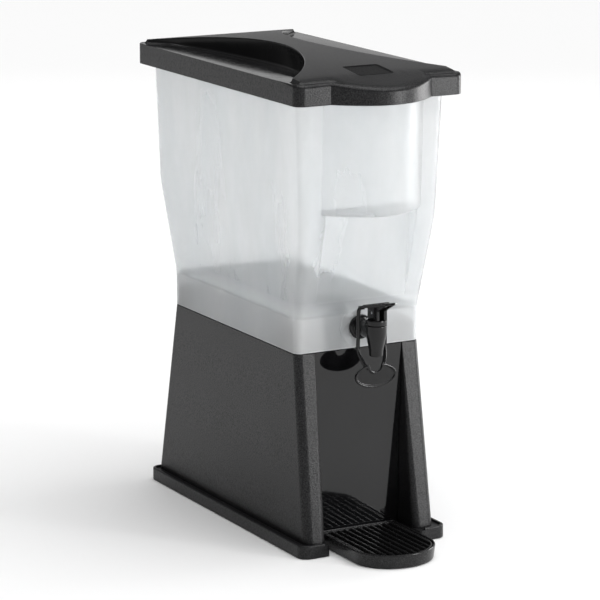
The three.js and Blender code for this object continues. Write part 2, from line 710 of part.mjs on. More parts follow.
function leverPlate() {
  const half = [[0, -52], [3.4, -49.5], [10, -30], [16.5, -12], [18.5, -4], [17, 1.5]];
  const outline = [...half, ...half.slice(1).reverse().map(([x, y]) => [-x, y])];
  const shape = new THREE.Shape(outline.map(([x, y]) => new THREE.Vector2(x, y)));
  const geometry = new THREE.ExtrudeGeometry(shape, { depth: LEVER_PLATE.thickness, bevelEnabled: false });
  geometry.translate(0, 0, -LEVER_PLATE.thickness);
  geometry.rotateX(LEVER_PLATE.tilt);
  geometry.translate(0, LEVER_PLATE.pivotY, LEVER_PLATE.pivotZ);
  return toSolid(geometry);
}

function leverWeb(side) {
  const outline = [
    [LEVER_WEB.front, LEVER_WEB.bottom],
    [LEVER_WEB.back, LEVER_WEB.bottom],
    [LEVER_WEB.back, 282.4],
    [-166, 287],
    [-186, 290.8],
    [-168, 281],
    [LEVER_WEB.front, 279],
  ];
  const x = [side * LEVER_WEB.inner, side * LEVER_WEB.outer].sort((a, b) => a - b);
  return prism('x', outline, x[0], x[1]);
}

function bailArm(side) {
  return tube([
    [side * 12, BAIL.y - 4, 281.6],
    [side * 16, BAIL.y - 0.5, 280.4],
    [side * BAIL.x, BAIL.y, 274],
    [side * BAIL.x, BAIL.y, 252],
    [side * BAIL.x, BAIL.y, 231],
    [side * 14.6, BAIL.y - 4, 221],
    [side * 9.8, PADDLE.y + 0.6, 210],
  ], BAIL.radius, 30);
}

function ovalOutline(halfWidth, halfHeight, steps = 40) {
  return Array.from({ length: steps }, (_, i) => {
    const angle = (i / steps) * Math.PI * 2;
    return [halfWidth * Math.cos(angle), PADDLE.z + halfHeight * Math.sin(angle)];
  });
}

function buildLever() {
  const back = PADDLE.y + PADDLE.thickness / 2;
  const front = PADDLE.y - PADDLE.thickness / 2;
  const oval = ovalOutline(PADDLE.halfWidth, PADDLE.halfHeight);
  const dish = ovalOutline(PADDLE.halfWidth - PADDLE.rimWidth, PADDLE.halfHeight - PADDLE.rimWidth);
  const paddle = prism('y', oval, front, back).subtract(prism('y', dish, front - 1, front + PADDLE.rim));
  const notchZ = PADDLE.z + PADDLE.halfHeight - 1.5;
  const notchOutline = arc(0, notchZ, PADDLE.notch, 0, Math.PI * 1.9, 23);
  const notchRim = arc(0, notchZ, PADDLE.notch + PADDLE.rimWidth, 0, Math.PI * 1.9, 23);
  const rim = prism('y', notchRim, front, back).intersect(prism('y', oval, front - 1, back + 1));
  const notch = prism('y', notchOutline, front - 5, back + 5);
  const pinHole = prism('x', arc(SPOUT_Y, PIN.z, PIN.radius + GAP, 0, Math.PI * 1.9, 19), -8, 8);
  const lever = paddle.add(rim).subtract(notch)
    .add(bailArm(-1)).add(bailArm(1))
    .add(leverPlate())
    .add(leverWeb(-1)).add(leverWeb(1))
    .subtract(pinHole);
  return toMesh('tap_lever', lever, TAP_BLACK);
}

const dispenser = new THREE.Group();
dispenser.name = 'drink_dispenser';
dispenser.add(
  buildBaseShell(),
  buildFrontPanel(),
  ...buildPads(),
  buildDripTray(),
  buildDripGrate(),
  buildReservoir(),
  buildLid(),
  buildLidBadge(),
  buildTapBody(),
  ringAlongY('tap_outer_washer', -116.7, -114.4, 13, TAP_HOLE_RADIUS, RUBBER_BLACK),
  ringAlongY('tap_inner_washer', -109.8, -107.6, 12.2, TAP_HOLE_RADIUS, RUBBER_BLACK),
  buildShankNut(),
  buildBonnet(),
  buildStem(),
  buildSeatCup(),
  buildSpring(),
  buildPin(),
  buildLever(),
);

export default dispenser;
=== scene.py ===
import math

import bmesh
import bpy
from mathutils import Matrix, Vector


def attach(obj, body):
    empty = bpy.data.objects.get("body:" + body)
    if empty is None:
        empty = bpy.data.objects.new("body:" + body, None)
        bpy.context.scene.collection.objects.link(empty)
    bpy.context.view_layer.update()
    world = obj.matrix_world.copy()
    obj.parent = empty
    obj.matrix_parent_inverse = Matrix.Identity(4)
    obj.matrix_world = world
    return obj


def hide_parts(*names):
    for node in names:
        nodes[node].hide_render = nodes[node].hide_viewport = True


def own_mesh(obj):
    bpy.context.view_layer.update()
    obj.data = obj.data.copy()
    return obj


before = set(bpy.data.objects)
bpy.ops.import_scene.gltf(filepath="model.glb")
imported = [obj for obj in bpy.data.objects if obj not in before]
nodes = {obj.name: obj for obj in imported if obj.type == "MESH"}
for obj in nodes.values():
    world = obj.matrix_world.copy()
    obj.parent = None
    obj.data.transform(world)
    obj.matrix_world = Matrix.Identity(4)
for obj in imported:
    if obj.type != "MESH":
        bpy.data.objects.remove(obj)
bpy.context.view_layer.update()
scene = bpy.context.scene

# Slim drink dispenser. Shapes are worked out in millimetres and stored in metres.
# +Z is up, the tap side faces -Y, and the dispenser is symmetric about X = 0.
MM = 0.001
WALL = 3.0
GAP = 0.3
QUARTER = math.pi / 2
CORNER_STEPS = 12
SMOOTH_ANGLE = math.radians(32)

# The signs of X and Y at the four corners.
CORNERS = ((-1, -1), (1, -1), (-1, 1), (1, 1))

# A plan section is half width, front, back and corner radius. A height comes before its section.
PLINTH = (95.0, -154.0, 236.0, 12.0)
DECK = (80.3, -113.1, 193.1, 9.0)
DECK_Z = 227.3
BASE_FOOT = (15.7, (84.5, -143.6, 233.6, 10.0))
BASE_HEAD = (DECK_Z, DECK)
PAD_CENTRES = ((-88, -139), (88, -139), (-88, 220), (88, 220))
PAD_SEAT = (2.3, 5.8)  # depth and radius
BAY_HALF_WIDTH = 57.0
MOUTH_CORNER = 5.0
# The splash panel's front face at its lower and upper edge, as height and Y.
PANEL_LOW = (8.0, -107.2)
PANEL_HIGH = (226.9, -112.6)
LUG_SIZE = (29.0, 48.0)
LUG_CORNER = 7.0
LUG_PLAY = 0.8
LUG_TOP = 252.3
LUG_TOP_RADIUS = 1.8
LUG_WALL = 2.6

TANK_BOTTOM = 227.6
TANK_FOLD = 268.0
TANK_SHOULDER = 376.9
TANK_TOP = 529.5
LID_BOTTOM = 515.8
TANK_SECTIONS = [
    (TANK_BOTTOM, DECK),
    (TANK_FOLD, DECK),
    (TANK_SHOULDER, (87.2, -140.7, 222.1, 11.0)),
    (LID_BOTTOM, (93.2, -146.3, 223.1, 14.0)),
    (TANK_TOP, (93.8, -146.8, 223.3, 14.0)),
]
FOLDS = (TANK_FOLD, TANK_SHOULDER, LID_BOTTOM)
FOLD_REACH = 7.0
FLOOR_TOP = 270.5
FLANGE = (101.4, -156.0, 231.4, 10.0)
FLANGE_LOW = 526.5
BOW_HALF_WIDTH = 64.0
BOW_DEPTH = 39.6
BOW_BOTTOM = 389.5
# The tap recess at its lower and upper end, as height and Y of its back.
RECESS_HALF_WIDTH = 58.0
RECESS_LOW = (284.0, -117.0)
RECESS_HIGH = (389.5, -128.0)
FLOOR_RIB = (40.0, 43.0)
# Outlines of the sump as Y and Z, and of the tap's boss as Y and radius.
SUMP_HALF_WIDTH = 20.0
SUMP_OUTLINE = [(-110.1, 236.5), (-78.0, 236.5), (-16.0, 268.0), (-16.0, 272.0), (-110.1, 272.0)]
BOSS = [(-114.1, 23.0), (-114.0, 23.5), (-113.7, 23.9), (-112.1, 24.0)]

# The tap: height of its shank's axis, Y of its spout's axis, and the lever's sloping top plate.
TAP_Z = 252.4
TAP_Y = -153.0
TAP_HOLE_RADIUS = 8.2
PLATE_HIGH = (-143.0, 283.0)
PLATE_SLOPE = 0.23
RIDGE_FIRST = -150.0
RIDGE_PITCH = 6.0
SPRING_LOW = 244.45
SPRING_HIGH = 258.15
SPRING_RADIUS = 5.4
SPRING_WIRE = 0.55
SPRING_TURNS = 5

LID = (106.4, -162.7, 236.0, 11.0)
LID_RIM = 540.0
LID_BOW = (64.0, 32.0)
LID_WALL = 2.8
# The crown is an arch along Y. Its front end falls by LIP_FALL from LIP_START on, over LIP_LENGTH.
CROWN_BASE = 544.42
CROWN_RISE = 12.4
CROWN_CENTRE = 41.7
CROWN_HALF_LENGTH = 194.0
CROWN_SIDE_FALL = 1.5
LIP_START = -150.0
LIP_LENGTH = 44.7
LIP_FALL = 9.5
# The lid's rounded upper edge, as inset and depth below the crown.
EDGE_ROLL = ((0.0, 5.0), (0.15, 4.0), (0.6, 3.0), (1.2, 2.2), (2.0, 1.55), (3.2, 1.0), (6.0, 0.3))
# A finger scoop is cut by a cylinder whose axis stands at SCOOP_X. Angles are in degrees.
SCOOP_X = 259.0
SCOOP_RADIUS = 240.0
SCOOP_HALF_ANGLE = 54.5
SCOOP_START = 130.0
SCOOP_TOP = 600
SCOOP_LOW = 529.5
SCOOP_SLOPE = 0.174
SCOOP_SPINE = 19.0
SCOOP_KINK_X = 79.3
SCOOP_BRIM = 1.6
SCOOP_COVE = 3.0
BADGE = (22.5, 20.0, 4.0)  # half width, half length, corner radius
BADGE_CENTRE = (-132.0, 547.1)
BADGE_SLOPE = 0.114

TRAY_FRONT = -236.0
TRAY_BACK = -108.6
TRAY_HALF_WIDTH = 49.8
TRAY_NOSE = 44.0
TRAY_WALL = 2.4
GRATE_LEDGE = 10.7
GRATE_LOW = 11.0
GRATE_TOP = 15.6
GRATE_RIM = 2.6
RIB_COUNT = 11
RIB_PITCH = 8.6
RIB_HALF = 1.4
TIE_PLACES = (-140, -175, -210)

# Heights in metres: where the haze changes, and where the tank's floor polygons lie.
HAZE_BAND = (0.2270, 0.2870)
TANK_FLOOR_BAND = (0.262, 0.274)
# The share of scattered light over HAZE_BAND, as stops of a ramp. The walls are hazier over the
# skirt, and their first stop, at the very bottom edge, is a painted glow that stands in for light
# carried along the wall.
WALL_HAZE_AND_EDGE_GLOW = ((0.0, 0.85), (0.045, 0.56), (0.65, 0.58), (0.70, 0.36), (1.0, 0.24))
FLOOR_HAZE = ((0.0, 0.96), (1.0, 0.96))

# The camera as fitted to the photo's edges: metres, degrees and a lens in millimetres.
CAMERA_PLACE = (-1.685, -3.055, 1.036)
CAMERA_PITCH = 77.464
CAMERA_YAW = -28.684
CAMERA_LENS = 184.63


# ---- Mesh tools ----

def mix(a, b, t):
    return a + (b - a) * t


def mesh_object(name, points, faces):
    mesh = bpy.data.meshes.new(name)
    mesh.from_pydata([(x * MM, y * MM, z * MM) for x, y, z in points], [], faces)
    obj = bpy.data.objects.new(name, mesh)
    scene.collection.objects.link(obj)
    return obj


def point_outwards(obj):
    bm = bmesh.new()
    bm.from_mesh(obj.data)
    bmesh.ops.recalc_face_normals(bm, faces=bm.faces)
    bm.to_mesh(obj.data)
    bm.free()
    return obj


def weld(obj, distance=1e-6):
    bm = bmesh.new()
    bm.from_mesh(obj.data)
    bmesh.ops.remove_doubles(bm, verts=bm.verts, dist=distance)
    bm.to_mesh(obj.data)
    bm.free()


def loft(name, rings, closed=False):
    """A solid through rings with equal counts: capped at its ends, or closed into a ring itself."""
    count = len(rings[0])
    points = [p for ring in rings for p in ring]
    faces = []
    spans = len(rings) if closed else len(rings) - 1
    for r in range(spans):
        low = r * count
        high = ((r + 1) % len(rings)) * count
        for i in range(count):
            j = (i + 1) % count
            faces.append((low + i, low + j, high + j, high + i))
    if not closed:
        faces.append(tuple(range(count))[::-1])
        faces.append(tuple(range(len(points) - count, len(points))))
    return point_outwards(mesh_object(name, points, faces))


def at_height(outline, z):
    return [(x, y, z) for x, y in outline]


def slab(name, outline, low, high):
    return loft(name, [at_height(outline, low), at_height(outline, high)])


def box(name, x0, x1, y0, y1, z0, z1):
    return slab(name, [(x0, y0), (x1, y0), (x1, y1), (x0, y1)], z0, z1)


def prism_along_x(name, outline, half):
    return loft(name, [[(x, y, z) for y, z in outline] for x in (-half, half)])


def combine(target, tool, operation):
    """Boolean of two solids. The tool is used up."""
    modifier = target.modifiers.new("combine", "BOOLEAN")
    modifier.operation = operation
    modifier.solver = "MANIFOLD"
    modifier.object = tool
    graph = bpy.context.evaluated_depsgraph_get()
    result = bpy.data.meshes.new_from_object(target.evaluated_get(graph))
    target.modifiers.clear()
    target.data = result
    bpy.data.objects.remove(tool)
    return target


def cut(target, tool):
    return combine(target, tool, "DIFFERENCE")


def join(target, tool):
    return combine(target, tool, "UNION")


def smooth(obj, angle=SMOOTH_ANGLE):
    obj.data.shade_smooth()
    obj.data.set_sharp_from_angle(angle=angle)
    modifier = obj.modifiers.new("normals", "WEIGHTED_NORMAL")
    modifier.keep_sharp = True
    modifier.weight = 80
    return obj


def cad_copy(name, node):
    obj = bpy.data.objects.new(name, nodes[node].data.copy())
    scene.collection.objects.link(obj)
    return obj


def moulded(obj, voxel, passes=3):
    """Rounds a solid's edges over by a fine remesh, as a mould leaves them."""
    remesh = obj.modifiers.new("remesh", "REMESH")
    remesh.mode = "VOXEL"
    remesh.voxel_size = voxel * MM
    relax = obj.modifiers.new("relax", "SMOOTH")
    relax.factor = 0.5
    relax.iterations = passes
    graph = bpy.context.evaluated_depsgraph_get()
    result = bpy.data.meshes.new_from_object(obj.evaluated_get(graph))
    obj.modifiers.clear()
    obj.data = result
    obj.data.shade_smooth()
    return obj


def arc(cx, cy, radius, start, end, steps):
    angles = [start + (end - start) * i / steps for i in range(steps + 1)]
    return [(cx + radius * math.cos(a), cy + radius * math.sin(a)) for a in angles]


def rounded(section, inset=0.0, steps=CORNER_STEPS):
    half_width, front, back, corner = section
    radius = max(corner - inset, 0.5)
    x = half_width - inset - radius
    y0 = front + inset + radius
    y1 = back - inset - radius
    return [
        *arc(x, y0, radius, -QUARTER, 0, steps),
        *arc(x, y1, radius, 0, QUARTER, steps),
        *arc(-x, y1, radius, QUARTER, 2 * QUARTER, steps),
        *arc(-x, y0, radius, 2 * QUARTER, 3 * QUARTER, steps),
    ]


def section_ring(section, z, inset=0.0):
    return at_height(rounded(section, inset), z)


def blend_section(low, high, z):
    t = (z - low[0]) / (high[0] - low[0])
    return tuple(mix(a, b, t) for a, b in zip(low[1], high[1]))


def bow_points(half, base, depth, steps):
    xs = [mix(-half, half, i / steps) for i in range(steps + 1)]
    return [(x, base - depth * (1 - (x / half) ** 2)) for x in xs]


def turned_along_y(name, profile, steps=64):
    angles = [2 * math.pi * i / steps for i in range(steps)]
    rings = [[(r * math.sin(a), y, TAP_Z + r * math.cos(a)) for a in angles] for y, r in profile]
    return loft(name, rings)


def turned(name, profile, x, y, steps):
    angles = [2 * math.pi * i / steps for i in range(steps)]
    rings = [[(x + r * math.cos(a), y + r * math.sin(a), z) for a in angles] for z, r in profile]
    return loft(name, rings)


# ---- Base ----

def panel_y(z):
    """Where the splash panel's front face stands at a height."""
    t = (z - PANEL_LOW[0]) / (PANEL_HIGH[0] - PANEL_LOW[0])
    return mix(PANEL_LOW[1], PANEL_HIGH[1], t)


def bay_ring(z, widen):
    t = (z - BASE_FOOT[0]) / (BASE_HEAD[0] - BASE_FOOT[0])
    mouth = mix(BASE_FOOT[1][1], BASE_HEAD[1][1], t)
    radius = max(mix(9.0, 0.3, t), 0.3) + widen * 0.2
    half = BAY_HALF_WIDTH + widen
    back = panel_y(z) + WALL + GAP + widen
    front = mouth - 40
    right = arc(half + radius, mouth + radius, radius, 3 * QUARTER, 2 * QUARTER, 10)
    left = arc(-half - radius, mouth + radius, radius, 0, -QUARTER, 10)
    ends = [(-half - radius, front), (half + radius, front)]
    return at_height([*ends, *right, (half, back), (-half, back), *left], z)


def plinth_mouth(bay_back):
    """The gap where the tray slides in, with rounded corners at its mouth."""
    half, radius, front = BAY_HALF_WIDTH + 1, MOUTH_CORNER, PLINTH[1]
    right = arc(half + radius, front + radius, radius, 3 * QUARTER, 2 * QUARTER, 10)
    left = arc(-half - radius, front + radius, radius, 0, -QUARTER, 10)
    ends = [(-half - radius, front - 16), (half + radius, front - 16)]
    outline = [*ends, *right, (half, bay_back), (-half, bay_back), *left]
    return loft("foot_gap", [at_height(outline, -1), at_height(outline, 16)])


def lug(side_x, side_y, inset, bottom, top):
    """One of the four lugs that stand up from the deck into the tank's skirt."""
    along_x, along_y = LUG_SIZE
    round_top = LUG_TOP_RADIUS
    half_width, front, back, _ = DECK
    edge = WALL + LUG_PLAY
    cx = side_x * (half_width - edge - along_x / 2)
    wall_y = front if side_y < 0 else back
    cy = wall_y - side_y * (edge + along_y / 2)

    def ring(z, more):
        outline = rounded((along_x / 2, -along_y / 2, along_y / 2, LUG_CORNER), inset + more, 6)
        return [(x + cx, y + cy, z) for x, y in outline]

    rings = [ring(bottom, 0), ring(top - round_top, 0)]
    for step in (0.35, 0.7, 1.0):
        angle = step * QUARTER
        rise = top - round_top * (1 - math.sin(angle))
        rings.append(ring(rise, round_top * (1 - math.cos(angle))))
    return loft("lug", rings)


def build_base():
    """The open-bottomed tower with its plinth, cup bay, deck lugs and pad seats."""
    lip_profile = [
        (0.5, 0.9), (0.7, 0.3), (1.3, 0.0), (13.9, 0.0), (14.7, 0.15), (15.3, 0.6), (15.6, 1.15),
        (15.7, 1.8), (15.7, 2.5), (15.6, 3.0), (15.3, 3.4), (14.9, 3.6), (13.7, 3.6), (13.25, 3.75),
        (13.1, 4.2),
    ]
    shell = loft("dispenser_base", [section_ring(PLINTH, z, inset) for z, inset in lip_profile])
    tower_profile = [(8.0, 0.0), (226.2, 0.0), (226.8, 0.12), (227.15, 0.4), (DECK_Z, 0.9)]
    tower_rings = []
    for z, inset in tower_profile:
        tower_rings.append(section_ring(blend_section(BASE_FOOT, BASE_HEAD, z), z, inset))
    join(shell, loft("tower", tower_rings))
    hollow = loft("hollow", [
        section_ring(blend_section(BASE_FOOT, BASE_HEAD, z), z, WALL) for z in (-1.0, DECK_Z - WALL)
    ])
    cut(hollow, loft("bay_wall", [bay_ring(z, WALL) for z in (-2.0, 60.0, 130.0, 230.3)]))
    for sx, sy in CORNERS:
        join(shell, lug(sx, sy, 0, DECK_Z - 1, LUG_TOP))
    cut(shell, hollow)
    bay_heights = (12.7, 40.0, 80.0, 120.0, 160.0, 200.0, 230.3)
    cut(shell, loft("bay", [bay_ring(z, 0) for z in bay_heights]))
    cut(shell, plinth_mouth(panel_y(PANEL_LOW[0]) + WALL + GAP))
    cut(shell, box("tongue_slot", -21, 21, -115, -90, -1, 6))
    for sx, sy in CORNERS:
        cut(shell, lug(sx, sy, LUG_WALL, 223.3, LUG_TOP - LUG_WALL))
    for x, y in PAD_CENTRES:
        depth, radius = PAD_SEAT
        cut(shell, turned("pad_seat", [(-1, radius), (depth, radius)], x, y, 32))
    return smooth(shell)


def build_panel():
    """The glossy splash panel: a moulded sheet that is very slightly wavy."""
    columns, rows = 40, 76
    half = BAY_HALF_WIDTH - GAP

    def wave(x, z):
        t = min((x + half) / (2 * half), 1)
        fade = math.sin(math.pi * t) * math.sin(math.pi * (z - 8) / 219)
        ripple = 0.10 * math.sin(x / 17 + z / 41) + 0.07 * math.sin(x / 9.5 - z / 27 + 1.2)
        return ripple * fade

    points = []
    for back in (False, True):
        for r in range(rows + 1):
            z = mix(8.3, 226.6, r / rows)
            for c in range(columns + 1):
                x = mix(-half + 0.3, half - 0.3, c / columns)
                y = panel_y(z) + (WALL if back else 0.2 + wave(x, z) * 0.6)
                points.append((x, y, z))
    width = columns + 1
    sheet = width * (rows + 1)
    faces = []
    for r in range(rows):
        for c in range(columns):
            a = r * width + c
            faces.append((a, a + 1, a + 1 + width, a + width))
            faces.append((sheet + a, sheet + a + width, sheet + a + 1 + width, sheet + a + 1))
    edge = list(range(width))
    edge += [r * width + columns for r in range(1, rows + 1)]
    edge += [rows * width + c for c in range(columns - 1, -1, -1)]
    edge += [r * width for r in range(rows - 1, 0, -1)]
    for i, a in enumerate(edge):
        b = edge[(i + 1) % len(edge)]
        faces.append((a, a + sheet, b + sheet, b))
    return smooth(point_outwards(mesh_object("splash_panel", points, faces)))


# ---- Drip tray ----

def tray_ring(z, inset):
    half = TRAY_HALF_WIDTH - inset
    front = TRAY_FRONT + inset
    nose = TRAY_FRONT + TRAY_NOSE
    steps = 56
    outline = []
    for i in range(steps + 1):
        angle = math.pi * (1 + i / steps)
        outline.append((half * math.cos(angle), nose + (nose - front) * math.sin(angle)))
    back = TRAY_BACK - inset
    corner = 2.5
    outline += arc(half - corner, back - corner, corner, 0, QUARTER, 4)
    outline += arc(-half + corner, back - corner, corner, QUARTER, 2 * QUARTER, 4)
    return at_height(outline, z)


def draft(z):
    """How far the tray's side wall leans in at a height."""
    return 1.8 * (1 - (z - 0.6) / 15.9)


def build_tray():
    outside = [
        (0.6, 3.6), (0.7, 2.8), (1.1, 2.2), (2.0, 1.75), (15.0, 0.17), (15.8, 0.22), (16.3, 0.55),
        (16.5, 1.0),
    ]
    inside = [
        (16.5, 1.5), (16.3, 1.95), (15.9, 2.3), (15.4, 2.45),
        (GRATE_LEDGE, TRAY_WALL + draft(GRATE_LEDGE)), (GRATE_LEDGE, 5.6), (10.5, 5.8),
        (3.9, 5.8), (3.2, 6.1), (3.0, 6.9),
    ]
    profile = outside + inside
    tray = loft("drip_tray_shell", [tray_ring(z, inset) for z, inset in profile])
    join(tray, box("tongue", -20, 20, TRAY_BACK - 4.5, -95, 2, 4.8))
    return smooth(tray)


def rib_bar(x, y0, y1, half, bottom, top):
    crown = [(half, bottom), (half, top - 1.1), (half - 0.35, top - 0.35), (half - 1.0, top)]
    profile = [(u, z) for u, z in crown] + [(-u, z) for u, z in reversed(crown)]
    return loft("rib", [[(x + u, y, z) for u, z in profile] for y in (y0, y1)])


def build_grate():
    """A rim that follows the tray, with ribs front to back and three ties under them."""
    inset = TRAY_WALL + draft(GRATE_LOW) + GAP
    inner = inset + GRATE_RIM
    rim_profile = [
        (GRATE_LOW, inset), (14.7, inset), (15.3, inset + 0.3), (GRATE_TOP, inset + 0.9),
        (GRATE_TOP, inner - 0.7), (15.4, inner - 0.2), (14.9, inner), (GRATE_LOW, inner),
    ]
    grate = loft("drip_grate_ribbed", [tray_ring(z, i) for z, i in rim_profile], closed=True)
    nose = TRAY_FRONT + TRAY_NOSE
    half = TRAY_HALF_WIDTH - inner + 0.6
    depth = TRAY_NOSE - inner + 0.6
    for i in range(RIB_COUNT):
        x = (i - RIB_COUNT // 2) * RIB_PITCH
        front = nose - depth * math.sqrt(max(1 - (x / half) ** 2, 0.02))
        back = TRAY_BACK - inner + 0.6
        join(grate, rib_bar(x, front, back, RIB_HALF, GRATE_LOW, GRATE_TOP))
    for y in TIE_PLACES:
        reach = half * math.sqrt(1 - (max(nose - y, 0) / depth) ** 2)
        join(grate, box("tie", -reach, reach, y - 1.5, y + 1.5, 11.05, 12.8))
    return smooth(grate)


# ---- Reservoir ----

def tank_section(z):
    for low, high in zip(TANK_SECTIONS, TANK_SECTIONS[1:]):
        if z <= high[0]:
            return blend_section(low, high, z)
    return TANK_SECTIONS[-1][1]


def soft_section(z):
    """The wall's section at a height, with each fold between straight stretches rounded."""
    for fold in FOLDS:
        if abs(z - fold) < FOLD_REACH:
            below = tank_section(fold - FOLD_REACH)
            above = tank_section(fold + FOLD_REACH)
            middle = tank_section(fold)
            t = (z - fold + FOLD_REACH) / (2 * FOLD_REACH)
            weights = ((1 - t) ** 2, 2 * t * (1 - t), t * t)
            return tuple(
                weights[0] * a + weights[1] * b + weights[2] * c
                for a, b, c in zip(below, middle, above)
            )
    return tank_section(z)


def tank_heights(low, high):
    """Heights of the rings between two levels, closer together at the folds."""
    heights = {low, high}
    for fold in FOLDS:
        heights |= {fold + FOLD_REACH * k / 4 for k in range(-4, 5)}
    return sorted(h for h in heights if low <= h <= high)


def bow_solid(name, inset, bottom, top, round_bottom=0.0):
    def ring(z, more):
        half = BOW_HALF_WIDTH - inset - more
        base = soft_section(min(z, TANK_TOP))[1] + inset
        outline = bow_points(half, base, BOW_DEPTH - more, 48)
        return at_height([*outline, (half, base + 14), (-half, base + 14)], z)

    rings = [] if round_bottom else [ring(bottom, 0)]
    for k in range(5 if round_bottom else 0):
        turn = k * QUARTER / 4
        rise = bottom + round_bottom * (1 - math.cos(turn))
        rings.append(ring(rise, round_bottom * (1 - math.sin(turn))))
    rings += [ring(z, 0) for z in [*tank_heights(bottom + 3, TANK_TOP), top]]
    return loft(name, rings)


def recess_y(z):
    t = (z - RECESS_LOW[0]) / (RECESS_HIGH[0] - RECESS_LOW[0])
    return mix(RECESS_LOW[1], RECESS_HIGH[1], t)


def recess_ring(z, grow):
    """The tap recess at a height. Grown by a wall, it is the skin the cavity leaves round it."""
    mouth = soft_section(z)[1]
    back = recess_y(z) + grow
    depth = max(back - grow - mouth, 0.0)
    edge = 0.0 if grow else min(2.2, 0.05 + depth * 0.5)
    corner = min(3.0, 0.1 + depth * 0.45) + grow
    half = RECESS_HALF_WIDTH + grow
    front = mouth - 70
    if grow:
        right = [(half, mouth - 5 + 0.1 * k) for k in range(7)]
        left = [(-half, mouth - 5 + 0.1 * (6 - k)) for k in range(7)]
    else:
        right = arc(half + edge, mouth + edge, edge, 3 * QUARTER, 2 * QUARTER, 6)
        left = arc(-half - edge, mouth + edge, edge, 0, -QUARTER, 6)
    inner_right = arc(half - corner, back - corner, corner, 0, QUARTER, 6)
    inner_left = arc(-half + corner, back - corner, corner, QUARTER, 2 * QUARTER, 6)
    ends = [(-half - edge, front), (half + edge, front)]
    return at_height([*ends, *right, *inner_right, *inner_left, *left], z)


def recess_solid(name, grow):
    low = RECESS_LOW[0] - grow
    high = RECESS_HIGH[0] + grow
    heights = [low, *tank_heights(low + 1, high - 1), high]
    return loft(name, [recess_ring(z, grow) for z in heights])


def build_reservoir():
    """The tank: outer solid less its cavity, with a hollow skirt, a rib, a sump and a tap boss."""
    def wall_ring(z, inset):
        return section_ring(soft_section(z), z, inset)

    foot = [(TANK_BOTTOM, 0.9), (227.75, 0.4), (228.1, 0.12), (228.7, 0.0)]
    rings = [wall_ring(z, inset) for z, inset in foot]
    rings += [wall_ring(z, 0) for z in tank_heights(232.0, TANK_TOP)]
    tank = loft("reservoir_tank", rings)
    cut(tank, recess_solid("recess", 0))
    join(tank, bow_solid("bow", 0, BOW_BOTTOM, TANK_TOP, 2.0))

    floor_section = soft_section(FLOOR_TOP)
    floor_cove = ((2.5, 2.2), (2.2, 1.2), (1.5, 0.5), (0.8, 0.15))
    cavity_rings = [
        section_ring(floor_section, FLOOR_TOP - drop, WALL + inset) for drop, inset in floor_cove
    ]
    cavity_rings += [wall_ring(z, WALL) for z in tank_heights(FLOOR_TOP, TANK_TOP)]
    cavity_rings.append(section_ring(TANK_SECTIONS[-1][1], TANK_TOP + 2, WALL))
    cavity = loft("cavity", cavity_rings)
    cut(cavity, recess_solid("recess_inside", WALL))
    join(cavity, bow_solid("bow_inside", WALL, BOW_BOTTOM + WALL, TANK_TOP + 2))

    join(tank, slab("flange", rounded(FLANGE), FLANGE_LOW, TANK_TOP))
    lip = [*bow_points(62, FLANGE[1], 34.4, 40), (62, -148), (-62, -148)]
    join(tank, slab("bow_flange", lip, FLANGE_LOW, TANK_TOP))

    skirt_rings = [wall_ring(z, WALL) for z in (226.6, 240.0, 255.0)]
    skirt_rings.append(section_ring(DECK, TANK_FOLD - WALL, WALL))
    hollow = loft("skirt", skirt_rings)
    front = DECK[1]
    sump_skin = [(front, 233.5), (-78, 233.5), (-13, TANK_FOLD), (-13, 272), (front, 272)]
    cut(hollow, prism_along_x("sump_skin", sump_skin, SUMP_HALF_WIDTH + WALL))
    cut(hollow, box("floor_rib", -90, 90, *FLOOR_RIB, 233, 270))
    boss = turned_along_y("boss", BOSS)
    combine(boss, box("boss_limit", -30, 30, -120, -110, 228.6, 280), "INTERSECT")
    join(tank, boss)
    cut(tank, cavity)
    cut(tank, hollow)
    cut(tank, prism_along_x("sump", SUMP_OUTLINE, SUMP_HALF_WIDTH))
    cut(tank, turned_along_y("tap_hole", [(-120, TAP_HOLE_RADIUS), (-100, TAP_HOLE_RADIUS)]))
    return smooth(tank)


# ---- Lid ----

def lid_outline(inset):
    half, front, back, corner = LID
    radius = corner - min(inset, corner - 1)
    x = half - inset - radius
    y0 = front + inset + radius
    y1 = back - inset - radius
    return [
        *bow_points(LID_BOW[0] - inset * 0.6, front + inset, LID_BOW[1], 44),
        *arc(x, y0, radius, -QUARTER, 0, CORNER_STEPS),
        *[(half - inset, mix(y0, y1, k / 12)) for k in range(1, 12)],
        *arc(x, y1, radius, 0, QUARTER, CORNER_STEPS),
        *arc(-x, y1, radius, QUARTER, 2 * QUARTER, CORNER_STEPS),
        *[(-half + inset, mix(y1, y0, k / 12)) for k in range(1, 12)],
        *arc(-x, y0, radius, 2 * QUARTER, 3 * QUARTER, CORNER_STEPS),
    ]


def crown_height(x, y):
    """The lid's top: arched along its length, falling a little to the sides and over the bow."""
    along = (y - CROWN_CENTRE) / CROWN_HALF_LENGTH
    lip = min(max((LIP_START - y) / LIP_LENGTH, 0.0), 1.0)
    arch = CROWN_RISE * max(1 - along ** 2, 0.0)
    return CROWN_BASE + arch - CROWN_SIDE_FALL * (x / 100) ** 2 - LIP_FALL * lip


